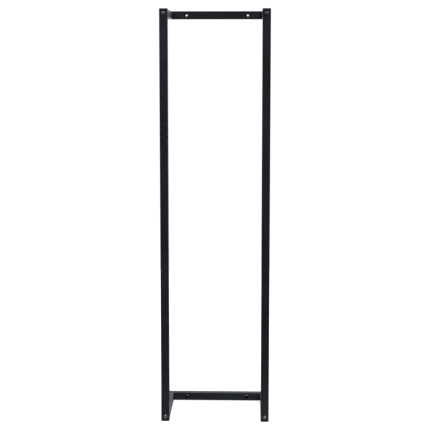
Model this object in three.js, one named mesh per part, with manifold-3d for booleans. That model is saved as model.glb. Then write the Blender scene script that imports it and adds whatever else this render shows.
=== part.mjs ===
// Firewood log rack: a tall open stand for stacked logs, screwed to a wall at the back.
// Two square-tube posts stand at the front. Behind them, at the top and at the bottom, a U-shaped
// frame of the same tube (two side arms and a back rail) is bolted on and reaches to the wall.
// Millimetres, +Z up, +X to the right seen from the front, the front faces -Y.
// Each piece is drawn with y = 0 on the posts' front faces; the last lines centre the whole rack.

import * as THREE from 'three';
import { mergeVertices } from 'three/addons/utils/BufferGeometryUtils.js';
import Module from 'manifold-3d';

const wasm = await Module();
wasm.setup();

// Overall sizes
const rackHeight = 1500; // with the end caps on
const rackWidth = 395; // across the posts
const rackDepth = 300; // from the posts' front faces to the wall

// Square steel tube, used for every post, arm and rail
const tubeSize = 30;
const tubeWall = 1.5;
const tubeCorner = 2.5; // outside radius of its long edges

// Plastic end caps, pushed into both ends of each post
const capThickness = 3; // the flange that shows
const capEdge = 1.8; // rounding of the flange's outer edge
const capPlugDepth = 8.5;
const capPlugWall = 1.6;
const capRibHeight = 1.2;
const capRibDepth = 0.5;
const capRibCount = 2;

// Screw holes for the wall: a screw clamps the rear wall of each back rail, and its head goes in
// through a larger hole in the front wall
const screwHoleDiameter = 7;
const driverHoleDiameter = 12;
const screwHoleSpacing = 230;

// M8 x 45 button-head bolts through the posts into the arms
const bolt = { diameter: 8, length: 45, headDiameter: 14, headHeight: 4.4, key: 5, keyDepth: 2.8, tip: 0.8 };
const boltHoleDiameter = 9;
const headFlat = 7.4; // diameter of the flat on top of the head
const headRim = 0.6; // height of the head's straight edge

// Nut plate and weld nut closing the front end of each arm
const plateThickness = 3;
const plateCorner = 1;
const nut = { acrossFlats: 13, height: 6.5 };

// Weld bead in each inner corner of the two frames
const weldLeg = 3;
const weldBulge = 0.72; // how far the bead's face stands out, as a share of its leg
const weldLength = 24;

const fitGap = 0.3; // clearance round a piece that sits in, or is cut to meet, its neighbour
const cornerSteps = 2; // arc steps for a rounded corner
const roundSides = 24; // flats on a full circle

const halfTube = tubeSize / 2;
const innerSize = tubeSize - 2 * tubeWall;
const innerCorner = tubeCorner - tubeWall;
const postX = rackWidth / 2 - halfTube;
const postLength = rackHeight - 2 * capThickness;
const armLength = rackDepth - tubeSize;
const bottomFrameZ = capThickness + halfTube;
const topFrameZ = rackHeight - bottomFrameZ;

const coatedSteel = new THREE.MeshStandardMaterial({ color: 0x1d1f23, roughness: 0.5, metalness: 0.1 });
const capPlastic = new THREE.MeshStandardMaterial({ color: 0x0c0c0d, roughness: 0.6, metalness: 0 });
const boltSteel = new THREE.MeshStandardMaterial({ color: 0x242528, roughness: 0.35, metalness: 0.8 });
const platedSteel = new THREE.MeshStandardMaterial({ color: 0x9a9ea3, roughness: 0.4, metalness: 1 });

// A closed geometry as a solid that can be cut and joined.
function toSolid(geometry) {
  const bare = geometry.clone();
  bare.deleteAttribute('normal');
  bare.deleteAttribute('uv');
  const merged = mergeVertices(bare);
  const corners = merged.index.array;
  const kept = [];
  for (let i = 0; i < corners.length; i += 3) {
    const [a, b, c] = corners.slice(i, i + 3);
    if (a !== b && b !== c && c !== a) kept.push(a, b, c);
  }
  const mesh = new wasm.Mesh({
    numProp: 3,
    vertProperties: merged.getAttribute('position').array,
    triVerts: new Uint32Array(kept),
  });
  return new wasm.Manifold(mesh);
}

function toGeometry(solid) {
  const mesh = solid.getMesh();
  const geometry = new THREE.BufferGeometry();
  geometry.setAttribute('position', new THREE.BufferAttribute(mesh.vertProperties, 3));
  geometry.setIndex(new THREE.BufferAttribute(mesh.triVerts, 1));
  return geometry;
}

function roundedSquare(size, radius) {
  const reach = size / 2 - radius;
  const outline = new THREE.Shape();
  const centres = [[reach, -reach], [reach, reach], [-reach, reach], [-reach, -reach]];
  centres.forEach(([x, y], i) => {
    const start = (i - 1) * Math.PI / 2;
    outline.absarc(x, y, radius, start, start + Math.PI / 2);
  });
  outline.closePath();
  return outline;
}

function squareRing(size, corner, wall) {
  const ring = roundedSquare(size, corner);
  ring.holes.push(roundedSquare(size - 2 * wall, Math.max(corner - wall, 0.2)));
  return ring;
}

function circle(diameter) {
  const points = [];
  for (let i = 0; i < roundSides; i++) {
    const angle = (i / roundSides) * 2 * Math.PI;
    points.push(new THREE.Vector2(Math.cos(angle), Math.sin(angle)).multiplyScalar(diameter / 2));
  }
  return new THREE.Path(points);
}

function extrude(shape, length) {
  return new THREE.ExtrudeGeometry(shape, { depth: length, bevelEnabled: false, curveSegments: cornerSteps });
}

function squareTube(length) {
  return extrude(squareRing(tubeSize, tubeCorner, tubeWall), length);
}

// Slants one end of a tube at 45 degrees: each point of that end moves in along the tube by its
// distance from the tube's outer side, which faces +1 or -1 along the section's x or y axis.
function mitreEnd(tube, endZ, axis, outerSign) {
  const inward = endZ === 0 ? 1 : -1;
  const clearance = (fitGap / 2) * Math.SQRT2;
  const points = tube.getAttribute('position');
  for (let i = 0; i < points.count; i++) {
    if (points.getZ(i) !== endZ) continue;
    const across = axis === 'x' ? points.getX(i) : points.getY(i);
    points.setZ(i, endZ + inward * (halfTube - outerSign * across + clearance));
  }
}

// Round holes across a tube along its y axis, at the given distances along it. They go through both
// walls, or through the one wall that side points to, which is 1 for +y and -1 for -y.
function drillTube(tube, diameter, distances, side = 0) {
  let solid = toSolid(tube);
  for (const distance of distances) {
    const drill = new THREE.CylinderGeometry(diameter / 2, diameter / 2, tubeSize + 2, roundSides);
    drill.translate(0, side * halfTube, distance);
    solid = solid.subtract(toSolid(drill));
  }
  return toGeometry(solid);
}

function postTube() {
  const boltHeight = bottomFrameZ - capThickness;
  return drillTube(squareTube(postLength), boltHoleDiameter, [boltHeight, postLength - boltHeight]);
}

function backRail() {
  const rail = squareTube(rackWidth);
  mitreEnd(rail, 0, 'y', 1);
  mitreEnd(rail, rackWidth, 'y', 1);
  const offset = screwHoleSpacing / 2;
  const distances = [rackWidth / 2 - offset, rackWidth / 2 + offset];
  const screwed = drillTube(rail, screwHoleDiameter, distances, 1);
  return drillTube(screwed, driverHoleDiameter, distances, -1);
}

function sideArm(side) {
  const arm = squareTube(armLength);
  mitreEnd(arm, armLength, 'x', side);
  return arm;
}

// The flange lies at z = 0 to capThickness with its rounded edge below, and the ribbed plug above.
function endCap() {
  const rounded = new THREE.ExtrudeGeometry(roundedSquare(tubeSize - 2 * capEdge, tubeCorner - capEdge), {
    depth: capThickness,
    bevelThickness: capEdge,
    bevelSize: capEdge,
    bevelSegments: 3,
    curveSegments: cornerSteps,
  });
  rounded.translate(0, 0, capEdge);
  const flangeSpace = new THREE.BoxGeometry(2 * tubeSize, 2 * tubeSize, capThickness);
  flangeSpace.translate(0, 0, capThickness / 2);
  let solid = toSolid(rounded).intersect(toSolid(flangeSpace));

  const ribSize = innerSize - 2 * fitGap;
  const plugSize = ribSize - 2 * capRibDepth;
  const overlap = capThickness / 2;
  const plug = extrude(squareRing(plugSize, innerCorner, capPlugWall), capPlugDepth + overlap);
  plug.translate(0, 0, capThickness - overlap);
  solid = solid.add(toSolid(plug));
  const ribPitch = capPlugDepth / capRibCount;
  for (let i = 0; i < capRibCount; i++) {
    const rib = extrude(squareRing(ribSize, innerCorner, capPlugWall), capRibHeight);
    rib.translate(0, 0, capThickness + (i + 0.5) * ribPitch - capRibHeight / 2);
    solid = solid.add(toSolid(rib));
  }
  return toGeometry(solid);
}

function nutPlate() {
  const outline = roundedSquare(innerSize - 2 * fitGap, plateCorner);
  outline.holes.push(circle(boltHoleDiameter));
  return extrude(outline, plateThickness);
}

function hexagonPrism(acrossFlats, height) {
  const radius = acrossFlats / 2 / Math.cos(Math.PI / 6);
  return new THREE.CylinderGeometry(radius, radius, height, 6);
}

// A hexagon nut standing on y = 0, with its corners turned down at both ends and a plain bore.
function weldNut() {
  const boreRadius = bolt.diameter / 2 + fitGap;
  const outerRadius = nut.acrossFlats / 2 / Math.cos(Math.PI / 6);
  const turnedRadius = nut.acrossFlats / 2;
  const turnedDepth = (outerRadius - turnedRadius) * Math.tan(Math.PI / 6);
  const profile = [
    new THREE.Vector2(boreRadius, 0),
    new THREE.Vector2(turnedRadius, 0),
    new THREE.Vector2(outerRadius, turnedDepth),
    new THREE.Vector2(outerRadius, nut.height - turnedDepth),
    new THREE.Vector2(turnedRadius, nut.height),
    new THREE.Vector2(boreRadius, nut.height),
    new THREE.Vector2(boreRadius, 0),
  ];
  const ring = new THREE.LatheGeometry(profile, roundSides);
  const prism = hexagonPrism(nut.acrossFlats, nut.height);
  prism.translate(0, nut.height / 2, 0);
  return toGeometry(toSolid(prism).intersect(toSolid(ring)));
}

// The bolt's shank runs along +y from the seat at y = 0, and its domed head stands below that.
function buttonBolt() {
  const domeSteps = 5;
  const headRadius = bolt.headDiameter / 2;
  const profile = [new THREE.Vector2(0, -bolt.headHeight), new THREE.Vector2(headFlat / 2, -bolt.headHeight)];
  for (let i = 1; i <= domeSteps; i++) {
    const angle = (i / domeSteps) * Math.PI / 2;
    const radius = headFlat / 2 + (headRadius - headFlat / 2) * Math.sin(angle);
    const height = headRim + (bolt.headHeight - headRim) * Math.cos(angle);
    profile.push(new THREE.Vector2(radius, -height));
  }
  profile.push(
    new THREE.Vector2(headRadius, 0),
    new THREE.Vector2(bolt.diameter / 2, 0),
    new THREE.Vector2(bolt.diameter / 2, bolt.length - bolt.tip),
    new THREE.Vector2(bolt.diameter / 2 - bolt.tip, bolt.length),
    new THREE.Vector2(0, bolt.length),
  );
  const body = new THREE.LatheGeometry(profile, roundSides);
  const socket = hexagonPrism(bolt.key, 2 * bolt.keyDepth);
  socket.translate(0, -bolt.headHeight, 0);
  return toGeometry(toSolid(body).subtract(toSolid(socket)));
}

// A fillet of weld metal that fills the corner between two faces on x = 0 and y = 0.
function cornerWeld() {
  const section = new THREE.Shape();
  section.moveTo(fitGap, fitGap);
  section.lineTo(weldLeg, fitGap);
  section.quadraticCurveTo(weldLeg * weldBulge, weldLeg * weldBulge, fitGap, weldLeg);
  section.closePath();
  const bead = new THREE.ExtrudeGeometry(section, { depth: weldLength, bevelEnabled: false, curveSegments: 5 });
  bead.translate(0, 0, -weldLength / 2);
  return bead;
}

function piece(name, geometry, material) {
  const mesh = new THREE.Mesh(geometry, material);
  mesh.name = name;
  return mesh;
}

function post(sideName) {
  const group = new THREE.Group();
  const tube = piece(`${sideName}_post`, postTube(), coatedSteel);
  tube.position.z = capThickness;
  const footCap = piece(`${sideName}_post_foot_cap`, endCap(), capPlastic);
  const topCap = piece(`${sideName}_post_top_cap`, endCap(), capPlastic);
  topCap.position.z = rackHeight;
  topCap.rotation.x = Math.PI;
  group.add(tube, footCap, topCap);
  return group;
}

// One side of a U-shaped frame, with z = 0 at the middle of the tube's height.
function frameSide(levelName, sideName, side) {
  const group = new THREE.Group();
  const label = `${levelName}_${sideName}`;

  const arm = piece(`${label}_arm`, sideArm(side), coatedSteel);
  arm.position.y = tubeSize;
  arm.rotation.x = -Math.PI / 2;

  const plate = piece(`${label}_nut_plate`, nutPlate(), platedSteel);
  plate.position.y = tubeSize;
  plate.rotation.x = -Math.PI / 2;

  const nutMesh = piece(`${label}_weld_nut`, weldNut(), platedSteel);
  nutMesh.position.y = tubeSize + plateThickness;

  const boltMesh = piece(`${label}_bolt`, buttonBolt(), boltSteel);

  const weld = piece(`${label}_corner_weld`, cornerWeld(), coatedSteel);
  weld.position.set(-side * halfTube, rackDepth - tubeSize, 0);
  weld.rotation.z = side > 0 ? Math.PI : -Math.PI / 2;

  group.add(arm, plate, nutMesh, boltMesh, weld);
  group.position.x = side * postX;
  return group;
}

function wallFrame(levelName) {
  const group = new THREE.Group();
  const rail = piece(`${levelName}_rail`, backRail(), coatedSteel);
  rail.position.set(-rackWidth / 2, rackDepth - halfTube, 0);
  rail.rotation.y = Math.PI / 2;
  group.add(rail, frameSide(levelName, 'left', -1), frameSide(levelName, 'right', 1));
  return group;
}

const rack = new THREE.Group();

const leftPost = post('left');
leftPost.position.set(-postX, halfTube, 0);
const rightPost = post('right');
rightPost.position.set(postX, halfTube, 0);

const bottomFrame = wallFrame('bottom');
bottomFrame.position.z = bottomFrameZ;
const topFrame = wallFrame('top');
topFrame.position.z = topFrameZ;

rack.add(leftPost, rightPost, bottomFrame, topFrame);
rack.position.y = -(rackDepth - bolt.headHeight) / 2; // the bolt heads stand out in front of the posts

export default rack;
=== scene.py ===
import math
import bpy
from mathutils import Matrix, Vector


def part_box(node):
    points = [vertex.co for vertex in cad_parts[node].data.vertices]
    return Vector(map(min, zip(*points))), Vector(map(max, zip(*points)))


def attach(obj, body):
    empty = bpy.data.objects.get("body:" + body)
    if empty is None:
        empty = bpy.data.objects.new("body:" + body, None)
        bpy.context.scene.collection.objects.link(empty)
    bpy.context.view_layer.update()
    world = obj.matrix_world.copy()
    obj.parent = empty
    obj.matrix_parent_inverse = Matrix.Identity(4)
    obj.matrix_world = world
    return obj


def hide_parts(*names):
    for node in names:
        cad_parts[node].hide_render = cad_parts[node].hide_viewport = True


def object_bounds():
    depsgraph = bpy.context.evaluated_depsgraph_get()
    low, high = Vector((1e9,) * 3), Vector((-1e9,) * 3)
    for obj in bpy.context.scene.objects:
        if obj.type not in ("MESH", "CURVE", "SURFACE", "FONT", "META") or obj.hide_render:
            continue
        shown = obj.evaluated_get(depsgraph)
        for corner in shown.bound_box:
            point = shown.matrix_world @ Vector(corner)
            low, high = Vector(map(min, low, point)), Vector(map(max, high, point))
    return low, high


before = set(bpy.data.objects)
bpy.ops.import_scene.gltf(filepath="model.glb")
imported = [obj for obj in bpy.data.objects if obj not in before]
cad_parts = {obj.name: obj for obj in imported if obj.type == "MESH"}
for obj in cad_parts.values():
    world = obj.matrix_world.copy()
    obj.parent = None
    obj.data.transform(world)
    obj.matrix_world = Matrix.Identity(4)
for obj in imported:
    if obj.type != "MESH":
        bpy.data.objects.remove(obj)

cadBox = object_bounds()
rootBody = "root"
millimetre = 0.001


# Short ways to add and join nodes.
def feed(tree, socket, value):
    if isinstance(value, bpy.types.NodeSocket):
        tree.links.new(value, socket)
    else:
        socket.default_value = value


def addNode(tree, kind, inputs=None, **settings):
    made = tree.nodes.new(kind)
    for name, value in settings.items():
        setattr(made, name, value)
    for name, value in (inputs or {}).items():
        feed(tree, made.inputs[name], value)
    return made


def calc(tree, operation, *values):
    made = addNode(tree, "ShaderNodeMath", dict(enumerate(values)), operation=operation)
    return made.outputs[0]


def plus(tree, first, second):
    return calc(tree, "ADD", first, second)


def minus(tree, first, second):
    return calc(tree, "SUBTRACT", first, second)


def times(tree, first, second):
    return calc(tree, "MULTIPLY", first, second)


def over(tree, first, second):
    return calc(tree, "DIVIDE", first, second)


def vectorOf(tree, **parts):
    return addNode(tree, "ShaderNodeCombineXYZ", parts).outputs[0]


def splitVector(tree, vector):
    return addNode(tree, "ShaderNodeSeparateXYZ", {"Vector": vector}).outputs


def remap(tree, value, low, high, start=0.0, end=1.0):
    inputs = {"Value": value, "From Min": start, "From Max": end, "To Min": low, "To Max": high}
    return addNode(tree, "ShaderNodeMapRange", inputs).outputs["Result"]


def noise(tree, vector, scale, detail):
    inputs = {"Vector": vector, "Scale": scale, "Detail": detail}
    return addNode(tree, "ShaderNodeTexNoise", inputs).outputs["Fac"]


# The Mix node has its colour inputs at 6 and 7, after those for numbers and vectors.
def blendColors(tree, amount, first, second):
    mix = addNode(tree, "ShaderNodeMix", data_type="RGBA")
    feed(tree, mix.inputs[0], amount)
    feed(tree, mix.inputs[6], first)
    feed(tree, mix.inputs[7], second)
    return mix.outputs[2]


socketKinds = {
    float: "NodeSocketFloat",
    int: "NodeSocketInt",
    tuple: "NodeSocketVector",
    type(None): "NodeSocketMaterial",
}


def startTree(name, kind, sizes, results):
    tree = bpy.data.node_groups.new(name, kind)
    for label, value in sizes.items():
        socketKind = socketKinds[type(value)]
        socket = tree.interface.new_socket(label, in_out="INPUT", socket_type=socketKind)
        if value is not None:
            socket.default_value = value
    for label, socketKind in results.items():
        tree.interface.new_socket(label, in_out="OUTPUT", socket_type=socketKind)
    given = tree.nodes.new("NodeGroupInput").outputs
    out = tree.nodes.new("NodeGroupOutput").inputs
    return tree, given, out


def useGroup(tree, group, inputs, kind="ShaderNodeGroup"):
    made = addNode(tree, kind, node_tree=group)
    for name, value in inputs.items():
        feed(tree, made.inputs[name], value)
    return made.outputs


# Fine grain for the bump, and broad patches for colour and gloss.
def makeGrainGroup():
    sizes = {"Vector": (0.0, 0.0, 0.0), "Grain Scale": 700.0, "Patch Scale": 9.0}
    results = {"Grain": "NodeSocketFloat", "Patches": "NodeSocketFloat"}
    tree, given, out = startTree("surfaceGrain", "ShaderNodeTree", sizes, results)
    patchDetail = 3.0
    grainDetail = 2.0
    noiseLow = 0.3  # most of the noise lies between these two
    noiseHigh = 0.7
    broad = noise(tree, given["Vector"], given["Patch Scale"], patchDetail)
    feed(tree, out["Grain"], noise(tree, given["Vector"], given["Grain Scale"], grainDetail))
    feed(tree, out["Patches"], remap(tree, broad, 0.0, 1.0, noiseLow, noiseHigh))
    return tree


# Dust in flecks, only where the surface faces up.
def makeDustGroup():
    sizes = {"Vector": (0.0, 0.0, 0.0), "Amount": 0.3, "Fleck Scale": 160.0}
    tree, given, out = startTree("settledDust", "ShaderNodeTree", sizes, {"Mask": "NodeSocketFloat"})
    normal = addNode(tree, "ShaderNodeNewGeometry").outputs["Normal"]
    leastUpward = 0.55  # the upward part of the normal where dust begins to lie
    fullUpward = 0.95
    fleckDetail = 4.0
    clumpStart = 0.42  # noise below this leaves the surface clean
    clumpFull = 0.72
    lying = remap(tree, splitVector(tree, normal)["Z"], 0.0, 1.0, leastUpward, fullUpward)
    flecks = noise(tree, given["Vector"], given["Fleck Scale"], fleckDetail)
    clumped = remap(tree, flecks, 0.0, 1.0, clumpStart, clumpFull)
    feed(tree, out["Mask"], times(tree, times(tree, lying, clumped), given["Amount"]))
    return tree


grainGroup = makeGrainGroup()
dustGroup = makeDustGroup()


def startMaterial(name, attribute=None):
    material = bpy.data.materials.new(name)
    material.use_nodes = True
    tree = material.node_tree
    shader = tree.nodes["Principled BSDF"].inputs
    if attribute:
        place = addNode(tree, "ShaderNodeAttribute", attribute_name=attribute).outputs["Vector"]
    else:
        place = addNode(tree, "ShaderNodeTexCoord").outputs["Object"]
    return material, tree, shader, place


def addGrain(tree, place, look):
    inputs = {"Vector": place, "Grain Scale": look["grainScale"], "Patch Scale": look["patchScale"]}
    return useGroup(tree, grainGroup, inputs)


def addBump(tree, shader, height, look):
    inputs = {"Height": height, "Strength": look["bumpStrength"], "Distance": look["bumpDepth"]}
    bump = addNode(tree, "ShaderNodeBump", inputs)
    feed(tree, shader["Normal"], bump.outputs["Normal"])


powderCoat = {
    "darkTone": (0.0044, 0.0051, 0.0070, 1.0),
    "lightTone": (0.0068, 0.0078, 0.0104, 1.0),
    "patchScale": 7.0,
    "dustTone": (0.060, 0.058, 0.054, 1.0),
    "dust": 0.22,
    "fleckScale": 160.0,
    "roughness": (0.42, 0.52),
    "specular": 0.055,
    "grainScale": 520.0,  # orange-peel dimples per metre
    "bumpDepth": 0.22 * millimetre,
    "bumpStrength": 0.22,
}


def makePowderCoat():
    look = powderCoat
    material, tree, shader, place = startMaterial("powderCoatBlack")
    grain = addGrain(tree, place, look)
    inputs = {"Vector": place, "Amount": look["dust"], "Fleck Scale": look["fleckScale"]}
    dust = useGroup(tree, dustGroup, inputs)["Mask"]
    tone = blendColors(tree, grain["Patches"], look["darkTone"], look["lightTone"])
    feed(tree, shader["Base Color"], blendColors(tree, dust, tone, look["dustTone"]))
    gloss = remap(tree, grain["Patches"], *look["roughness"])
    feed(tree, shader["Roughness"], plus(tree, gloss, dust))
    addBump(tree, shader, grain["Grain"], look)
    shader["Specular IOR Level"].default_value = look["specular"]
    return material


capPlastic = {
    "darkTone": (0.0022, 0.0022, 0.0024, 1.0),
    "lightTone": (0.0040, 0.0040, 0.0042, 1.0),
    "patchScale": 60.0,
    "dustTone": (0.050, 0.048, 0.045, 1.0),
    "dust": 0.18,
    "fleckScale": 300.0,
    "roughness": (0.50, 0.62),
    "specular": 0.12,
    "grainScale": 1900.0,
    "bumpDepth": 0.08 * millimetre,
    "bumpStrength": 0.35,
}


def makeCapPlastic():
    look = capPlastic
    material, tree, shader, place = startMaterial("capPlasticBlack")
    grain = addGrain(tree, place, look)
    inputs = {"Vector": place, "Amount": look["dust"], "Fleck Scale": look["fleckScale"]}
    dust = useGroup(tree, dustGroup, inputs)["Mask"]
    tone = blendColors(tree, grain["Patches"], look["darkTone"], look["lightTone"])
    feed(tree, shader["Base Color"], blendColors(tree, dust, tone, look["dustTone"]))
    feed(tree, shader["Roughness"], remap(tree, grain["Patches"], *look["roughness"]))
    addBump(tree, shader, grain["Grain"], look)
    shader["Specular IOR Level"].default_value = look["specular"]
    return material


boltFinish = {
    "darkTone": (0.06, 0.061, 0.066, 1.0),
    "lightTone": (0.12, 0.12, 0.125, 1.0),
    "patchScale": 240.0,
    "metallic": 0.9,
    "roughness": (0.20, 0.30),
    "grainScale": 900.0,  # lathe marks per metre of radius
    "bumpDepth": 0.05 * millimetre,
    "bumpStrength": 0.3,
}


# The lathe marks are rings, so their grain is read from the distance to the bolt's own axis.
def makeBoltFinish():
    look = boltFinish
    material, tree, shader, place = startMaterial("blackZincBolt", attribute="turnedPlace")
    parts = splitVector(tree, place)
    across = vectorOf(tree, X=parts["X"], Y=parts["Y"])
    radius = addNode(tree, "ShaderNodeVectorMath", {0: across}, operation="LENGTH").outputs["Value"]
    rings = addGrain(tree, vectorOf(tree, X=radius, Z=parts["Z"]), look)["Grain"]
    patches = addGrain(tree, place, look)["Patches"]
    tone = blendColors(tree, patches, look["darkTone"], look["lightTone"])
    feed(tree, shader["Base Color"], tone)
    feed(tree, shader["Roughness"], remap(tree, patches, *look["roughness"]))
    addBump(tree, shader, rings, look)
    shader["Metallic"].default_value = look["metallic"]
    return material


zincPlating = {
    "darkTone": (0.42, 0.43, 0.45, 1.0),
    "lightTone": (0.62, 0.62, 0.60, 1.0),
    "patchScale": 110.0,
    "roughness": (0.28, 0.46),
    "grainScale": 1400.0,
    "bumpDepth": 0.05 * millimetre,
    "bumpStrength": 0.2,
}


def makeZincPlating():
    look = zincPlating
    material, tree, shader, place = startMaterial("zincPlatedSteel")
    grain = addGrain(tree, place, look)
    tone = blendColors(tree, grain["Patches"], look["darkTone"], look["lightTone"])
    feed(tree, shader["Base Color"], tone)
    feed(tree, shader["Roughness"], remap(tree, grain["Patches"], *look["roughness"]))
    addBump(tree, shader, grain["Grain"], look)
    shader["Metallic"].default_value = 1.0
    return material


coatMaterial = makePowderCoat()
capMaterial = makeCapPlastic()
boltMaterial = makeBoltFinish()
zincMaterial = makeZincPlating()
print("materials made:", coatMaterial.name, capMaterial.name, boltMaterial.name, zincMaterial.name)


# Short ways to shape and join meshes inside a tree.
def joinAll(tree, *geometries):
    join = addNode(tree, "GeometryNodeJoinGeometry")
    for geometry in geometries:
        tree.links.new(geometry, join.inputs[0])
    return join.outputs[0]


def merged(tree, geometry):
    inputs = {"Geometry": geometry, "Distance": 0.01 * millimetre}
    return addNode(tree, "GeometryNodeMergeByDistance", inputs).outputs[0]


def moved(tree, geometry, place=(0.0, 0.0, 0.0), turn=(0.0, 0.0, 0.0)):
    inputs = {"Geometry": geometry, "Translation": place, "Rotation": turn}
    return addNode(tree, "GeometryNodeTransform", inputs).outputs[0]


def realized(tree, geometry):
    return addNode(tree, "GeometryNodeRealizeInstances", {"Geometry": geometry}).outputs[0]


def filled(tree, outlines):
    return addNode(tree, "GeometryNodeFillCurve", {"Curve": outlines}, mode="NGONS").outputs[0]


def flipped(tree, mesh):
    return addNode(tree, "GeometryNodeFlipFaces", {"Mesh": mesh}).outputs[0]


def lifted(tree, mesh, height, selection=True):
    inputs = {"Mesh": mesh, "Selection": selection, "Offset": vectorOf(tree, Z=height), "Individual": False}
    return addNode(tree, "GeometryNodeExtrudeMesh", inputs).outputs


def reshaped(tree, geometry, position):
    inputs = {"Geometry": geometry, "Position": position}
    return addNode(tree, "GeometryNodeSetPosition", inputs).outputs[0]


def carved(tree, body, tool):
    inputs = {"Mesh 1": body, "Mesh 2": tool}
    cut = addNode(tree, "GeometryNodeMeshBoolean", inputs, operation="DIFFERENCE", solver="EXACT")
    return cut.outputs["Mesh"]


def fused(tree, *solids):
    union = addNode(tree, "GeometryNodeMeshBoolean", operation="UNION", solver="EXACT")
    for solid in solids:
        tree.links.new(solid, union.inputs["Mesh 2"])
    return union.outputs["Mesh"]


def cylinder(tree, sides, radius, depth):
    inputs = {"Vertices": sides, "Radius": radius, "Depth": depth}
    return addNode(tree, "GeometryNodeMeshCylinder", inputs).outputs["Mesh"]


# Keeps the edges where faces meet at more than this angle crisp.
def creased(tree, geometry, degrees):
    angle = addNode(tree, "GeometryNodeInputMeshEdgeAngle").outputs["Unsigned Angle"]
    crisp = calc(tree, "GREATER_THAN", angle, math.radians(degrees))
    inputs = {"Geometry": geometry, "Selection": crisp, "Shade Smooth": False}
    return addNode(tree, "GeometryNodeSetShadeSmooth", inputs, domain="EDGE").outputs[0]


# Copies of a shape up the z axis, the first one at this height.
def repeated(tree, shape, count, first, step):
    line = {"Count": count, "Start Location": vectorOf(tree, Z=first), "Offset": vectorOf(tree, Z=step)}
    seats = addNode(tree, "GeometryNodeMeshLine", line).outputs[0]
    copies = addNode(tree, "GeometryNodeInstanceOnPoints", {"Points": seats, "Instance": shape})
    return realized(tree, copies.outputs[0])


def herePosition(tree):
    return addNode(tree, "GeometryNodeInputPosition").outputs[0]


def roundedSquare(tree, size, corner):
    arcPoints = 6
    square = addNode(tree, "GeometryNodeCurvePrimitiveQuadrilateral", {"Width": size, "Height": size})
    inputs = {"Curve": square.outputs[0], "Radius": corner, "Count": arcPoints}
    return addNode(tree, "GeometryNodeFilletCurve", inputs, mode="POLY").outputs[0]


placing = {"Place": (0.0, 0.0, 0.0), "Turn": (0.0, 0.0, 0.0), "Material": None}
meshResult = {"Mesh": "NodeSocketGeometry"}


def finishTree(tree, given, out, geometry):
    inputs = {"Geometry": geometry, "Shade Smooth": True}
    smooth = addNode(tree, "GeometryNodeSetShadeSmooth", inputs).outputs[0]
    single = realized(tree, moved(tree, smooth, given["Place"], given["Turn"]))
    inputs = {"Geometry": single, "Material": given["Material"]}
    feed(tree, out[0], addNode(tree, "GeometryNodeSetMaterial", inputs).outputs[0])


# A square ring standing on z = 0, closed all round.
def makeRingGroup():
    sizes = {"Size": 0.03, "Wall": 0.0015, "Corner": 0.0025, "Height": 0.1}
    tree, given, out = startTree("squareRing", "GeometryNodeTree", sizes, meshResult)
    leastCorner = 0.3 * millimetre
    innerSize = minus(tree, given["Size"], times(tree, given["Wall"], 2.0))
    innerCorner = calc(tree, "MAXIMUM", minus(tree, given["Corner"], given["Wall"]), leastCorner)
    outer = roundedSquare(tree, given["Size"], given["Corner"])
    inner = roundedSquare(tree, innerSize, innerCorner)
    face = filled(tree, joinAll(tree, outer, inner))
    walls = lifted(tree, face, given["Height"])["Mesh"]
    feed(tree, out[0], merged(tree, joinAll(tree, walls, flipped(tree, face))))
    return tree


ringGroup = makeRingGroup()


def squareRing(tree, size, wall, corner, height):
    inputs = {"Size": size, "Wall": wall, "Corner": corner, "Height": height}
    return useGroup(tree, ringGroup, inputs, "GeometryNodeGroup")[0]


# How far a mitred end draws in at each point: nothing on its outer side, a full tube size on its inner.
def mitreDepth(tree, outerSide, position, size):
    along = addNode(tree, "ShaderNodeVectorMath", {0: outerSide, 1: position}, operation="DOT_PRODUCT")
    used = addNode(tree, "ShaderNodeVectorMath", {0: outerSide}, operation="LENGTH")
    reach = times(tree, times(tree, size, 0.5), used.outputs["Value"])
    return minus(tree, reach, along.outputs["Value"])


# A square tube along +z. Start Side and End Side point to the outer side of a mitre, or are zero for a
# square cut. Two holes, Hole Spacing apart about the middle, go through its front wall on -y, and two
# more through its rear wall on +y.
def makeTubeTree():
    sizes = {
        "Length": 1.0,
        "Size": 0.03,
        "Wall": 0.0015,
        "Corner": 0.0025,
        "Start Side": (0.0, 0.0, 0.0),
        "End Side": (0.0, 0.0, 0.0),
        "Front Hole": 0.0,
        "Rear Hole": 0.0,
        "Hole Spacing": 0.1,
    }
    tree, given, out = startTree("squareTube", "GeometryNodeTree", sizes | placing, meshResult)
    ring = squareRing(tree, given["Size"], given["Wall"], given["Corner"], given["Length"])
    position = herePosition(tree)
    middle = times(tree, given["Length"], 0.5)
    atEnd = calc(tree, "GREATER_THAN", splitVector(tree, position)["Z"], middle)
    atStart = minus(tree, 1.0, atEnd)
    startDepth = mitreDepth(tree, given["Start Side"], position, given["Size"])
    endDepth = mitreDepth(tree, given["End Side"], position, given["Size"])
    shift = minus(tree, times(tree, atStart, startDepth), times(tree, atEnd, endDepth))
    inputs = {"Geometry": ring, "Offset": vectorOf(tree, Z=shift)}
    mitred = addNode(tree, "GeometryNodeSetPosition", inputs).outputs[0]

    holeSides = 48
    spacing = given["Hole Spacing"]
    firstHole = minus(tree, middle, times(tree, spacing, 0.5))
    drills = []
    for hole, side in (("Front Hole", -0.5), ("Rear Hole", 0.5)):
        bit = cylinder(tree, holeSides, times(tree, given[hole], 0.5), given["Size"])
        reach = vectorOf(tree, Y=times(tree, given["Size"], side))
        bit = moved(tree, bit, reach, (math.pi / 2, 0.0, 0.0))
        drills.append(repeated(tree, bit, 2, firstHole, spacing))
    drilled = carved(tree, mitred, joinAll(tree, *drills))
    hasHoles = calc(tree, "GREATER_THAN", given["Front Hole"], 0.0)
    choice = {"Switch": hasHoles, "False": mitred, "True": drilled}
    finishTree(tree, given, out, addNode(tree, "GeometryNodeSwitch", choice).outputs[0])
    return tree


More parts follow.
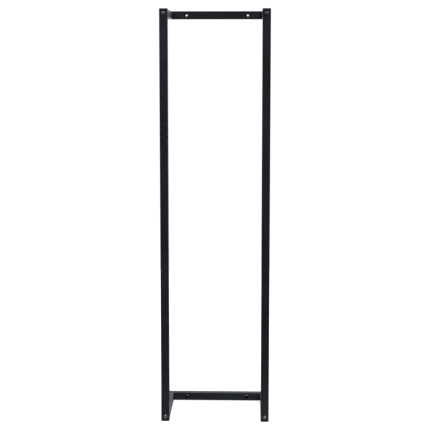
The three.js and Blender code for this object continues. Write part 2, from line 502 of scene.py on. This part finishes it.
# An end cap: its flange stands on z = 0 with the outer edge rounded at the top, and its ribbed plug
# hangs below.
def makeCapTree():
    sizes = {
        "Size": 0.03,
        "Corner": 0.0025,
        "Flange": 0.003,
        "Edge": 0.0018,
        "Plug Size": 0.0254,
        "Plug Corner": 0.001,
        "Plug Wall": 0.0016,
        "Plug Depth": 0.0085,
        "Rib Reach": 0.0005,
        "Rib Height": 0.0012,
        "Rib Count": 2,
    }
    tree, given, out = startTree("endCap", "GeometryNodeTree", sizes | placing, meshResult)
    edge = given["Edge"]
    seat = filled(tree, roundedSquare(tree, given["Size"], given["Corner"]))
    flange = seat
    top = True
    lastSize = given["Size"]
    lift = minus(tree, given["Flange"], edge)
    edgeSteps = 5
    for step in range(edgeSteps + 1):
        angle = step / edgeSteps * math.pi / 2
        nextAngle = (step + 1) / edgeSteps * math.pi / 2
        grown = lifted(tree, flange, lift, top)
        top = grown["Top"]
        size = minus(tree, given["Size"], times(tree, edge, 2 * (1 - math.cos(angle))))
        inputs = {"Geometry": grown["Mesh"], "Selection": top, "Scale": over(tree, size, lastSize)}
        flange = addNode(tree, "GeometryNodeScaleElements", inputs).outputs[0]
        lastSize = size
        lift = times(tree, edge, math.sin(nextAngle) - math.sin(angle))
    flange = merged(tree, joinAll(tree, flange, flipped(tree, seat)))

    depth = given["Plug Depth"]
    sunk = times(tree, given["Flange"], 0.5)  # the plug starts inside the flange
    corner = given["Plug Corner"]
    plug = squareRing(tree, given["Plug Size"], given["Plug Wall"], corner, plus(tree, depth, sunk))
    plug = moved(tree, plug, vectorOf(tree, Z=times(tree, depth, -1.0)))
    ribSize = plus(tree, given["Plug Size"], times(tree, given["Rib Reach"], 2.0))
    rib = squareRing(tree, ribSize, given["Plug Wall"], corner, given["Rib Height"])
    pitch = over(tree, depth, given["Rib Count"])
    firstRib = times(tree, plus(tree, pitch, given["Rib Height"]), -0.5)
    ribs = repeated(tree, rib, given["Rib Count"], firstRib, times(tree, pitch, -1.0))
    finishTree(tree, given, out, fused(tree, flange, plug, ribs))
    return tree


# A button-head bolt: its seat is z = 0, the domed head stands up along +z and the shank runs down.
def makeBoltTree():
    sizes = {
        "Head Diameter": 0.014,
        "Head Height": 0.0044,
        "Flat Diameter": 0.0074,
        "Rim Height": 0.0006,
        "Key Size": 0.005,
        "Key Depth": 0.0028,
        "Countersink": 0.0005,
        "Shank Diameter": 0.008,
        "Shank Length": 0.045,
        "Thread Length": 0.028,
        "Thread Pitch": 0.00125,
        "Spin": 0.0,
    }
    tree, given, out = startTree("buttonBolt", "GeometryNodeTree", sizes | placing, meshResult)

    # The head is a grid turned round the axis. Its rows are the middle of the top, the dome from the
    # flat to the rim, the foot of the rim, and the middle of the underside.
    domeSteps = 8
    rows = domeSteps + 4
    roundSides = 48
    inputs = {"Size X": 1.0, "Size Y": 1.0, "Vertices X": rows, "Vertices Y": roundSides + 1}
    grid = addNode(tree, "GeometryNodeMeshGrid", inputs).outputs[0]
    parts = splitVector(tree, herePosition(tree))
    row = calc(tree, "ROUND", times(tree, plus(tree, parts["X"], 0.5), rows - 1.0))
    offset = 0.03  # keeps the grid's edges off the socket's corners, where they would leave slivers
    turn = plus(tree, times(tree, plus(tree, parts["Y"], 0.5), 2 * math.pi), offset)
    share = over(tree, minus(tree, row, 1.0), float(domeSteps))
    angle = times(tree, calc(tree, "MINIMUM", calc(tree, "MAXIMUM", share, 0.0), 1.0), math.pi / 2)
    flatRadius = times(tree, given["Flat Diameter"], 0.5)
    dropWidth = minus(tree, times(tree, given["Head Diameter"], 0.5), flatRadius)
    domeRadius = plus(tree, flatRadius, times(tree, dropWidth, calc(tree, "SINE", angle)))
    beforeUnderside = calc(tree, "LESS_THAN", row, rows - 1.5)
    awayFromMiddle = times(tree, calc(tree, "MINIMUM", row, 1.0), beforeUnderside)
    radius = times(tree, domeRadius, awayFromMiddle)
    domeRise = minus(tree, given["Head Height"], given["Rim Height"])
    dome = plus(tree, given["Rim Height"], times(tree, domeRise, calc(tree, "COSINE", angle)))
    height = times(tree, dome, calc(tree, "LESS_THAN", row, rows - 2.5))
    spotX = times(tree, radius, calc(tree, "COSINE", turn))
    spotY = times(tree, radius, calc(tree, "SINE", turn))
    head = merged(tree, reshaped(tree, grid, vectorOf(tree, X=spotX, Y=spotY, Z=height)))
    keyRadius = over(tree, given["Key Size"], 2 * math.cos(math.pi / 6))
    key = cylinder(tree, 6, keyRadius, times(tree, given["Key Depth"], 2.0))
    head = carved(tree, head, moved(tree, key, vectorOf(tree, Z=given["Head Height"])))
    countersink = given["Countersink"]
    inputs = {
        "Vertices": roundSides,
        "Radius Bottom": times(tree, given["Key Size"], 0.5),
        "Radius Top": plus(tree, times(tree, given["Key Size"], 0.5), times(tree, countersink, 2.0)),
        "Depth": times(tree, countersink, 2.0),
    }
    cone = addNode(tree, "GeometryNodeMeshCone", inputs).outputs["Mesh"]
    coneFoot = vectorOf(tree, Z=minus(tree, given["Head Height"], countersink))
    head = carved(tree, head, moved(tree, cone, coneFoot))

    # The plain shank reaches a little into the head, so the two join as one solid.
    overlap = 0.5 * millimetre
    shankSides = 32
    threadDepth = 0.55  # as a share of the pitch
    pitch = given["Thread Pitch"]
    shankRadius = times(tree, given["Shank Diameter"], 0.5)
    rootRadius = minus(tree, shankRadius, times(tree, pitch, threadDepth))
    plainLength = minus(tree, given["Shank Length"], given["Thread Length"])
    plainDepth = plus(tree, plainLength, overlap)
    plainDrop = minus(tree, overlap, times(tree, plainDepth, 0.5))
    plain = moved(tree, cylinder(tree, shankSides, shankRadius, plainDepth), vectorOf(tree, Z=plainDrop))
    coreDepth = minus(tree, given["Shank Length"], overlap)
    coreDrop = minus(tree, times(tree, coreDepth, -0.5), overlap)
    core = moved(tree, cylinder(tree, shankSides, rootRadius, coreDepth), vectorOf(tree, Z=coreDrop))
    whole = merged(tree, fused(tree, head, plain, core))

    # The thread is a ridge that follows a helix round the core and stops short of its tip.
    bareTip = 2 * millimetre
    stepsPerTurn = 20
    ridgeSides = 4
    turns = over(tree, minus(tree, given["Thread Length"], bareTip), pitch)
    ridgeSize = times(tree, pitch, 0.5)
    helixRadius = minus(tree, shankRadius, ridgeSize)
    inputs = {
        "Resolution": stepsPerTurn,
        "Rotations": turns,
        "Start Radius": helixRadius,
        "End Radius": helixRadius,
        "Height": times(tree, times(tree, turns, pitch), -1.0),
    }
    helix = addNode(tree, "GeometryNodeCurveSpiral", inputs).outputs[0]
    inputs = {"Resolution": ridgeSides, "Radius": ridgeSize}
    section = addNode(tree, "GeometryNodeCurvePrimitiveCircle", inputs)
    inputs = {"Curve": helix, "Profile Curve": section.outputs[0], "Fill Caps": True}
    ridge = addNode(tree, "GeometryNodeCurveToMesh", inputs).outputs[0]
    ridgeDrop = minus(tree, times(tree, plainLength, -1.0), pitch)
    thread = moved(tree, ridge, vectorOf(tree, Z=ridgeDrop))

    # The finish reads each point's place on the upright bolt, before it is spun and set in the rack.
    crispFrom = 35  # degrees between two faces
    marked = addNode(
        tree,
        "GeometryNodeStoreNamedAttribute",
        {"Geometry": creased(tree, joinAll(tree, whole, thread), crispFrom), "Name": "turnedPlace"},
        data_type="FLOAT_VECTOR",
        domain="POINT",
    )
    feed(tree, marked.inputs["Value"], herePosition(tree))
    spun = moved(tree, marked.outputs[0], turn=vectorOf(tree, Z=given["Spin"]))
    finishTree(tree, given, out, spun)
    return tree


# A fillet weld along z that fills the corner between the faces x = 0 and y = 0.
def makeWeldTree():
    sizes = {
        "Length": 0.024,
        "Radius": 0.003,
        "Ripple Pitch": 0.0016,
        "Ripple Depth": 0.16,
        "Unevenness": 0.12,
        "Seed": 1,
    }
    tree, given, out = startTree("weldBead", "GeometryNodeTree", sizes | placing, meshResult)
    ringCount = 91
    half = times(tree, given["Length"], 0.5)
    ends = {"Start": vectorOf(tree, Z=times(tree, half, -1.0)), "End": vectorOf(tree, Z=half)}
    line = addNode(tree, "GeometryNodeCurvePrimitiveLine", ends).outputs[0]
    path = addNode(tree, "GeometryNodeResampleCurve", {"Curve": line, "Count": ringCount}).outputs[0]
    spot = addNode(tree, "GeometryNodeSplineParameter").outputs
    wave = calc(tree, "FRACT", over(tree, spot["Length"], given["Ripple Pitch"]))
    scallop = calc(tree, "SINE", times(tree, wave, math.pi))
    dip = times(tree, minus(tree, 1.0, scallop), given["Ripple Depth"])
    lumpsPerMetre = 350.0
    inputs = {"W": plus(tree, times(tree, spot["Length"], lumpsPerMetre), given["Seed"]), "Scale": 1.0}
    uneven = addNode(tree, "ShaderNodeTexNoise", inputs, noise_dimensions="1D").outputs[0]
    drift = times(tree, minus(tree, uneven, 0.5), given["Unevenness"])

    # The bead rounds off over a tenth of its length at each end.
    tenths = 10.0
    leastTaper = 0.05  # keeps its tips from closing to a point
    fromEnd = calc(tree, "MINIMUM", spot["Factor"], minus(tree, 1.0, spot["Factor"]))
    short = minus(tree, 1.0, calc(tree, "MINIMUM", times(tree, fromEnd, tenths), 1.0))
    rounding = minus(tree, 1.0, calc(tree, "POWER", short, 2.0))
    taper = calc(tree, "SQRT", calc(tree, "MAXIMUM", rounding, leastTaper))
    swell = times(tree, plus(tree, minus(tree, 1.0, dip), drift), taper)
    inputs = {
        "Curve": path,
        "Profile Curve": addNode(tree, "GeometryNodeCurvePrimitiveCircle", {"Radius": 1.0}).outputs[0],
        "Scale": times(tree, swell, given["Radius"]),
        "Fill Caps": True,
    }
    bead = addNode(tree, "GeometryNodeCurveToMesh", inputs).outputs[0]
    inputs = {0: herePosition(tree), 1: (0.0, 0.0, -1.0)}
    pressed = addNode(tree, "ShaderNodeVectorMath", inputs, operation="MAXIMUM").outputs[0]
    finishTree(tree, given, out, merged(tree, reshaped(tree, bead, pressed)))
    return tree


tubeTree = makeTubeTree()
capTree = makeCapTree()
boltTree = makeBoltTree()
weldTree = makeWeldTree()
print("geometry trees made:", tubeTree.name, capTree.name, boltTree.name, weldTree.name)


# Runs a tree with these values, rounds its sharp edges if an edge width is given, and returns the
# result as a plain mesh object.
def growPiece(name, tree, values, edge=0.0):
    grower = bpy.data.objects.new(name + "Grower", bpy.data.meshes.new(name + "Grower"))
    bpy.context.scene.collection.objects.link(grower)
    nodes = grower.modifiers.new("shape", "NODES")
    nodes.node_group = tree
    sockets = {s.name: s.identifier for s in tree.interface.items_tree if s.in_out == "INPUT"}
    for label, value in values.items():
        nodes[sockets[label]] = value
    if edge:
        bevel = grower.modifiers.new("edges", "BEVEL")
        bevel.width = edge
        bevel.segments = 2
        bevel.limit_method = "ANGLE"
        bevel.angle_limit = math.radians(40)
        bevel.use_clamp_overlap = True
        weighted = grower.modifiers.new("normals", "WEIGHTED_NORMAL")
        weighted.weight = 80
    depsgraph = bpy.context.evaluated_depsgraph_get()
    grown = grower.evaluated_get(depsgraph)
    mesh = bpy.data.meshes.new_from_object(grown, preserve_all_data_layers=True, depsgraph=depsgraph)
    mesh.name = name
    bare = grower.data
    bpy.data.objects.remove(grower)
    bpy.data.meshes.remove(bare)
    piece = bpy.data.objects.new(name, mesh)
    bpy.context.scene.collection.objects.link(piece)
    return piece


def settle(piece, node):
    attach(piece, rootBody)
    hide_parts(node)


def middleOf(node):
    low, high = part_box(node)
    return (low + high) / 2


tube = {
    "size": 30 * millimetre,
    "wall": 1.5 * millimetre,
    "corner": 2.5 * millimetre,
    "edge": 0.25 * millimetre,
    "boltHole": 9 * millimetre,
    "boltToEnd": 15 * millimetre,
    "screwHole": 7 * millimetre,  # in the rails' rear walls
    "driverHole": 12 * millimetre,  # in their front walls, for the screw's head
    "screwHoleSpacing": 230 * millimetre,
}

upright = (0.0, 0.0, 0.0)
upsideDown = (math.pi, 0.0, 0.0)
headForward = (math.pi / 2, 0.0, 0.0)  # local z to -y
backwards = (-math.pi / 2, 0.0, 0.0)  # local z to +y, local y to -z
sideways = (0.0, math.pi / 2, 0.0)  # local z to +x, local x to -z


def growTube(name, node, start, length, turn, extra):
    values = {
        "Length": length,
        "Size": tube["size"],
        "Wall": tube["wall"],
        "Corner": tube["corner"],
        "Place": start,
        "Turn": turn,
        "Material": coatMaterial,
    }
    settle(growPiece(name, tubeTree, values | extra, tube["edge"]), node)


for side in ("left", "right"):
    node = side + "_post"
    low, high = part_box(node)
    middle = middleOf(node)
    length = high.z - low.z
    holes = {
        "Front Hole": tube["boltHole"],
        "Rear Hole": tube["boltHole"],
        "Hole Spacing": length - 2 * tube["boltToEnd"],
    }
    growTube(side + "PostTube", node, (middle.x, middle.y, low.z), length, upright, holes)

for level in ("top", "bottom"):
    railMiddle = middleOf(level + "_rail")
    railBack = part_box(level + "_rail")[1].y
    for side, outwards in (("left", -1.0), ("right", 1.0)):
        node = f"{level}_{side}_arm"
        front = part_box(node)[0].y
        middle = middleOf(node)
        name = f"{level}{side.title()}ArmTube"
        mitre = {"End Side": (outwards, 0.0, 0.0)}
        growTube(name, node, (middle.x, front, middle.z), railBack - front, backwards, mitre)
    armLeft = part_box(level + "_left_arm")[0].x
    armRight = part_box(level + "_right_arm")[1].x
    start = (armLeft, railMiddle.y, railMiddle.z)
    mitresAndHoles = {
        "Start Side": (0.0, 1.0, 0.0),
        "End Side": (0.0, 1.0, 0.0),
        "Front Hole": tube["driverHole"],
        "Rear Hole": tube["screwHole"],
        "Hole Spacing": tube["screwHoleSpacing"],
    }
    growTube(level + "RailTube", level + "_rail", start, armRight - armLeft, sideways, mitresAndHoles)
print("tubes made: 2 posts, 4 arms, 2 rails")


endCap = {
    "flange": 3 * millimetre,
    "edge": 1.8 * millimetre,
    "plugSize": 25.4 * millimetre,
    "plugCorner": 1 * millimetre,
    "plugWall": 1.6 * millimetre,
    "plugDepth": 8.5 * millimetre,
    "ribReach": 0.5 * millimetre,
    "ribHeight": 1.2 * millimetre,
    "ribCount": 2,
    "softening": 0.15 * millimetre,
}

for side in ("left", "right"):
    for end, turn in (("foot", upsideDown), ("top", upright)):
        node = f"{side}_post_{end}_cap"
        low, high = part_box(node)
        middle = middleOf(node)
        seat = low.z + endCap["flange"] if end == "foot" else high.z - endCap["flange"]
        values = {
            "Size": tube["size"],
            "Corner": tube["corner"],
            "Flange": endCap["flange"],
            "Edge": endCap["edge"],
            "Plug Size": endCap["plugSize"],
            "Plug Corner": endCap["plugCorner"],
            "Plug Wall": endCap["plugWall"],
            "Plug Depth": endCap["plugDepth"],
            "Rib Reach": endCap["ribReach"],
            "Rib Height": endCap["ribHeight"],
            "Rib Count": endCap["ribCount"],
            "Place": (middle.x, middle.y, seat),
            "Turn": turn,
            "Material": capMaterial,
        }
        cap = growPiece(f"{side}{end.title()}Cap", capTree, values, endCap["softening"])
        settle(cap, node)
print("end caps made: 4")


frameBolt = {
    "headDiameter": 14 * millimetre,
    "headHeight": 4.4 * millimetre,
    "flatDiameter": 7.4 * millimetre,
    "rimHeight": 0.6 * millimetre,
    "keySize": 5 * millimetre,
    "keyDepth": 2.8 * millimetre,
    "countersink": 0.5 * millimetre,
    "shankDiameter": 8 * millimetre,
    "shankLength": 45 * millimetre,
    "threadLength": 28 * millimetre,
    "threadPitch": 1.25 * millimetre,
    "spins": {"top_left": 0.35, "top_right": 0.9, "bottom_left": 0.1, "bottom_right": 0.62},
}

for corner, spin in frameBolt["spins"].items():
    node = corner + "_bolt"
    middle = middleOf(node)
    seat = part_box(node)[0].y + frameBolt["headHeight"]
    values = {
        "Head Diameter": frameBolt["headDiameter"],
        "Head Height": frameBolt["headHeight"],
        "Flat Diameter": frameBolt["flatDiameter"],
        "Rim Height": frameBolt["rimHeight"],
        "Key Size": frameBolt["keySize"],
        "Key Depth": frameBolt["keyDepth"],
        "Countersink": frameBolt["countersink"],
        "Shank Diameter": frameBolt["shankDiameter"],
        "Shank Length": frameBolt["shankLength"],
        "Thread Length": frameBolt["threadLength"],
        "Thread Pitch": frameBolt["threadPitch"],
        "Spin": spin,
        "Place": (middle.x, seat, middle.z),
        "Turn": headForward,
        "Material": boltMaterial,
    }
    name = "bolt" + corner.title().replace("_", "")
    settle(growPiece(name, boltTree, values), node)
print("bolts made:", len(frameBolt["spins"]))


cornerWeld = {
    "length": 24 * millimetre,
    "radius": 3 * millimetre,
    "ripplePitch": 1.6 * millimetre,
    "rippleDepth": 0.16,
    "unevenness": 0.12,
    "firstSeed": 3,
}

seed = cornerWeld["firstSeed"]
for level in ("top", "bottom"):
    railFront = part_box(level + "_rail")[0].y
    for side, turn in (("left", -math.pi / 2), ("right", math.pi)):
        armLow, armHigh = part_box(f"{level}_{side}_arm")
        innerFace = armHigh.x if side == "left" else armLow.x
        values = {
            "Length": cornerWeld["length"],
            "Radius": cornerWeld["radius"],
            "Ripple Pitch": cornerWeld["ripplePitch"],
            "Ripple Depth": cornerWeld["rippleDepth"],
            "Unevenness": cornerWeld["unevenness"],
            "Seed": seed,
            "Place": (innerFace, railFront, middleOf(level + "_rail").z),
            "Turn": (0.0, 0.0, turn),
            "Material": coatMaterial,
        }
        bead = growPiece(f"{level}{side.title()}Weld", weldTree, values)
        settle(bead, f"{level}_{side}_corner_weld")
        seed += 1
print("corner welds made: 4")


# The plates and nuts inside the arms keep their own shapes.
for name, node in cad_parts.items():
    if name.endswith("_nut_plate") or name.endswith("_weld_nut"):
        for slot in node.material_slots:
            slot.material = zincMaterial
print("nut plates and weld nuts plated")


camera = {
    "place": (0.1307, -4.6251, 1.3654),
    "pitchDown": 7.621,
    "turnLeft": 1.669,
    "lens": 105.28,
    "sensor": 36.0,
    "farthest": 60.0,
}

cameraData = bpy.data.cameras.new("camera")
cameraData.lens = camera["lens"]
cameraData.sensor_width = camera["sensor"]
cameraData.clip_end = camera["farthest"]
cameraObject = bpy.data.objects.new("camera", cameraData)
cameraObject.location = camera["place"]
tilt = math.radians(90 - camera["pitchDown"])
cameraObject.rotation_euler = (tilt, 0.0, math.radians(camera["turnLeft"]))
bpy.context.scene.collection.objects.link(cameraObject)
bpy.context.scene.camera = cameraObject


studio = {
    "floorSides": 3.0,
    "floorBehind": 3.0,
    "floorInFront": 0.45,
    "floorTone": (0.18, 0.18, 0.18, 1.0),
    "floorGlow": 0.84,  # pale by its own light, so that the key throws little of it up at the rack
    "floorRoughness": 0.9,
    "roomTone": (0.95, 0.96, 1.0, 1.0),
    "backdrop": 2.7,  # the lit wall behind the rack
    "backdropEdges": (0.1, 0.7),  # where it begins and is full, as the direction's y
    "room": 0.12,  # the dim room in front
    "roomEdges": (-0.1, -0.9),
    "sides": 0.03,  # dark on both sides, so the tubes keep dark edges
    "seenWhite": 1.05,  # what the camera itself sees round the rack
}


def makeFloor():
    side = studio["floorSides"]
    front = -studio["floorInFront"]
    back = studio["floorBehind"]
    corners = [(-side, front, 0.0), (side, front, 0.0), (side, back, 0.0), (-side, back, 0.0)]
    mesh = bpy.data.meshes.new("floor")
    mesh.from_pydata(corners, [], [(0, 1, 2, 3)])
    floor = bpy.data.objects.new("floor", mesh)
    bpy.context.scene.collection.objects.link(floor)
    material = bpy.data.materials.new("paleFloor")
    material.use_nodes = True
    shader = material.node_tree.nodes["Principled BSDF"].inputs
    shader["Base Color"].default_value = studio["floorTone"]
    shader["Roughness"].default_value = studio["floorRoughness"]
    shader["Specular IOR Level"].default_value = 0.0
    shader["Emission Color"].default_value = (1.0, 1.0, 1.0, 1.0)
    shader["Emission Strength"].default_value = studio["floorGlow"]
    mesh.materials.append(material)


# White to the camera; to the rack, a bright backdrop behind it, a dim room in front and dark sides.
def makeSurroundings():
    world = bpy.data.worlds.new("studio")
    world.use_nodes = True
    bpy.context.scene.world = world
    tree = world.node_tree
    tree.nodes.clear()
    direction = addNode(tree, "ShaderNodeTexCoord").outputs["Generated"]
    depth = splitVector(tree, direction)["Y"]
    glow = studio["sides"]
    for level, (begin, full) in (
        (studio["backdrop"], studio["backdropEdges"]),
        (studio["room"], studio["roomEdges"]),
    ):
        inputs = {"Value": depth, "From Min": begin, "From Max": full, "To Max": level}
        fade = addNode(tree, "ShaderNodeMapRange", inputs, interpolation_type="SMOOTHSTEP")
        glow = plus(tree, glow, fade.outputs["Result"])
    room = addNode(tree, "ShaderNodeBackground", {"Color": studio["roomTone"], "Strength": glow})
    white = addNode(tree, "ShaderNodeBackground", {"Strength": studio["seenWhite"]})
    white.inputs["Color"].default_value = (1.0, 1.0, 1.0, 1.0)
    toCamera = addNode(tree, "ShaderNodeLightPath").outputs["Is Camera Ray"]
    mix = addNode(tree, "ShaderNodeMixShader", {0: toCamera, 1: room.outputs[0], 2: white.outputs[0]})
    addNode(tree, "ShaderNodeOutputWorld", {"Surface": mix.outputs[0]})


# The suns shine from the direction of their place; the softbox stands at its place.
lights = {
    "key": {"kind": "SUN", "place": (5.5, -4.0, 7.3), "strength": 7.0, "angle": 14.0},
    "overhead": {"kind": "SUN", "place": (1.4, -2.0, 10.0), "strength": 1.6, "angle": 50.0},
    "leftBox": {"kind": "AREA", "place": (-1.2, -2.4, 2.6), "strength": 80.0, "width": 0.8, "height": 1.6},
}


def makeLights():
    middle = (cadBox[0] + cadBox[1]) / 2
    for name, light in lights.items():
        data = bpy.data.lights.new(name, light["kind"])
        data.energy = light["strength"]
        if light["kind"] == "SUN":
            data.angle = math.radians(light["angle"])
        else:
            data.shape = "RECTANGLE"
            data.size = light["width"]
            data.size_y = light["height"]
        lamp = bpy.data.objects.new(name, data)
        lamp.location = light["place"]
        lamp.rotation_euler = (middle - lamp.location).to_track_quat("-Z", "Y").to_euler()
        lamp.visible_camera = False
        bpy.context.scene.collection.objects.link(lamp)


makeFloor()
makeSurroundings()
makeLights()
bpy.context.scene.view_settings.view_transform = "Standard"
print("camera, floor and lights made")
